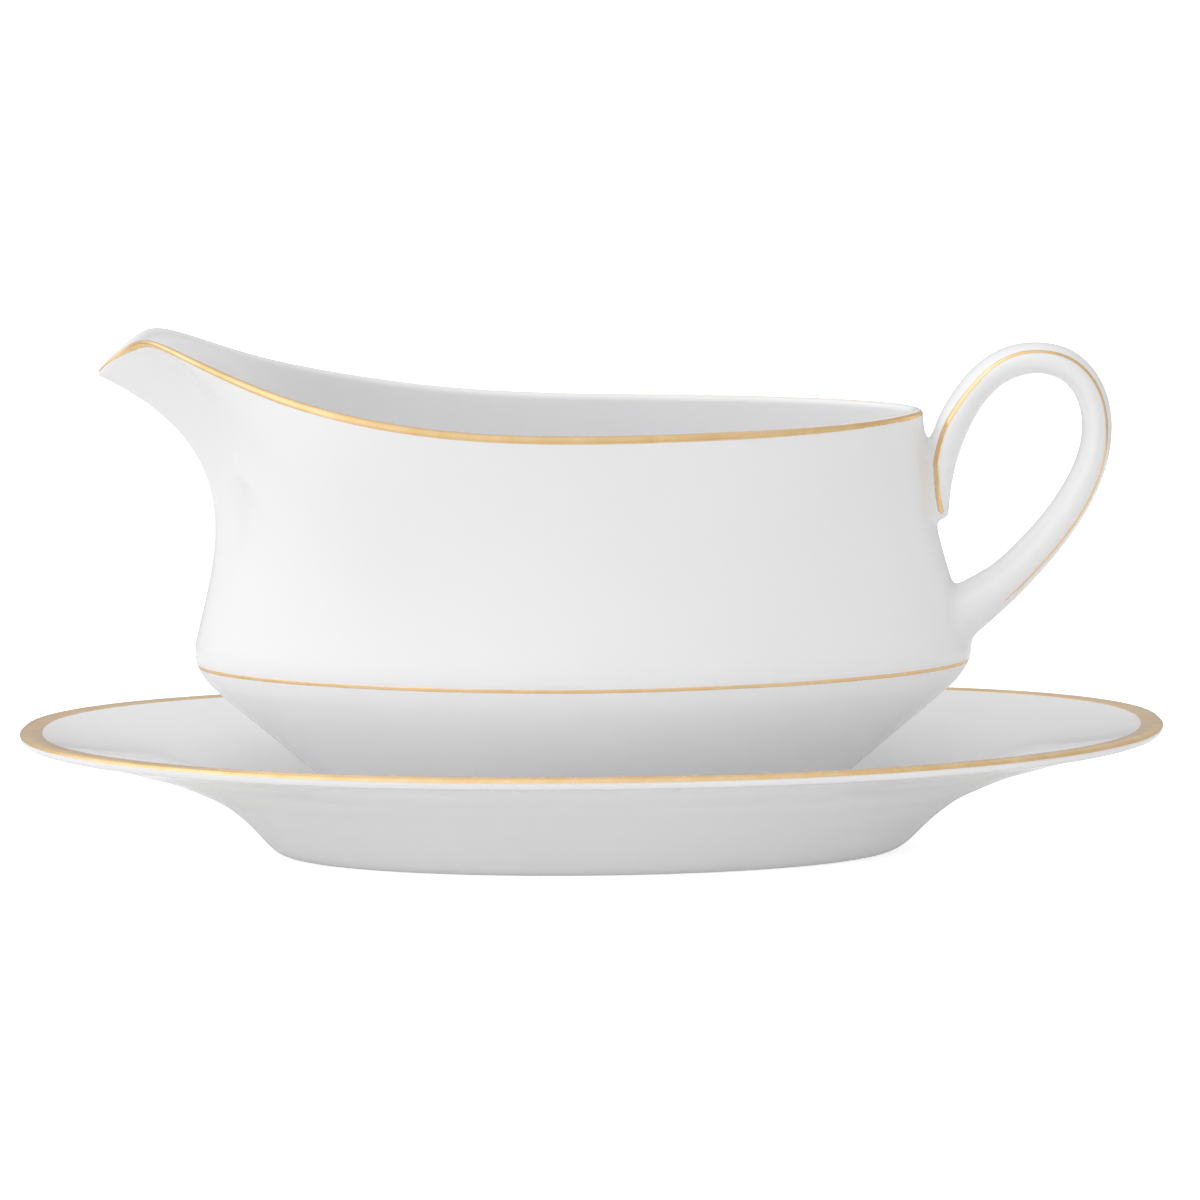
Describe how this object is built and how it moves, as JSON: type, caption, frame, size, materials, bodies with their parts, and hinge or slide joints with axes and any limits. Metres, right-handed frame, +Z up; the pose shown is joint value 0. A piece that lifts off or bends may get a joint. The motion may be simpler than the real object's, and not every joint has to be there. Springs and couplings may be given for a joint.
{
  "type": "gravy boat",
  "caption": "Oval footed gravy boat with a broad pouring lip and a loop handle, standing loose in the well of its own oval stand; white glaze lined in gold.",
  "frame": {"origin": "centre of the stand's oval foot print at table height, the middle of the stand's length and width", "axes": "+X runs along the length from the pouring lip to the handle, +Y to the left of the handle seen from the lip's far end, +Z up out of the boat"},
  "size_m": [0.2362, 0.1412, 0.1084],
  "materials": {
    "porcelain": "glossy white glaze",
    "gold": "bright fired gold lining"
  },
  "bodies": {
    "saucer": {"saucer": "porcelain", "saucer_gold_band": "gold"},
    "boat": {"boat_body": "porcelain", "boat_handle": "porcelain", "boat_rim_gold_line": "gold", "boat_shoulder_gold_line": "gold", "handle_gold_line_left": "gold", "handle_gold_line_right": "gold"}
  },
  "joints": [
    {"name": "boat_lift", "type": "slide", "parent": "saucer", "child": "boat", "axis": [0, 0, 1], "range_m": [0, 0.12]}
  ]
}
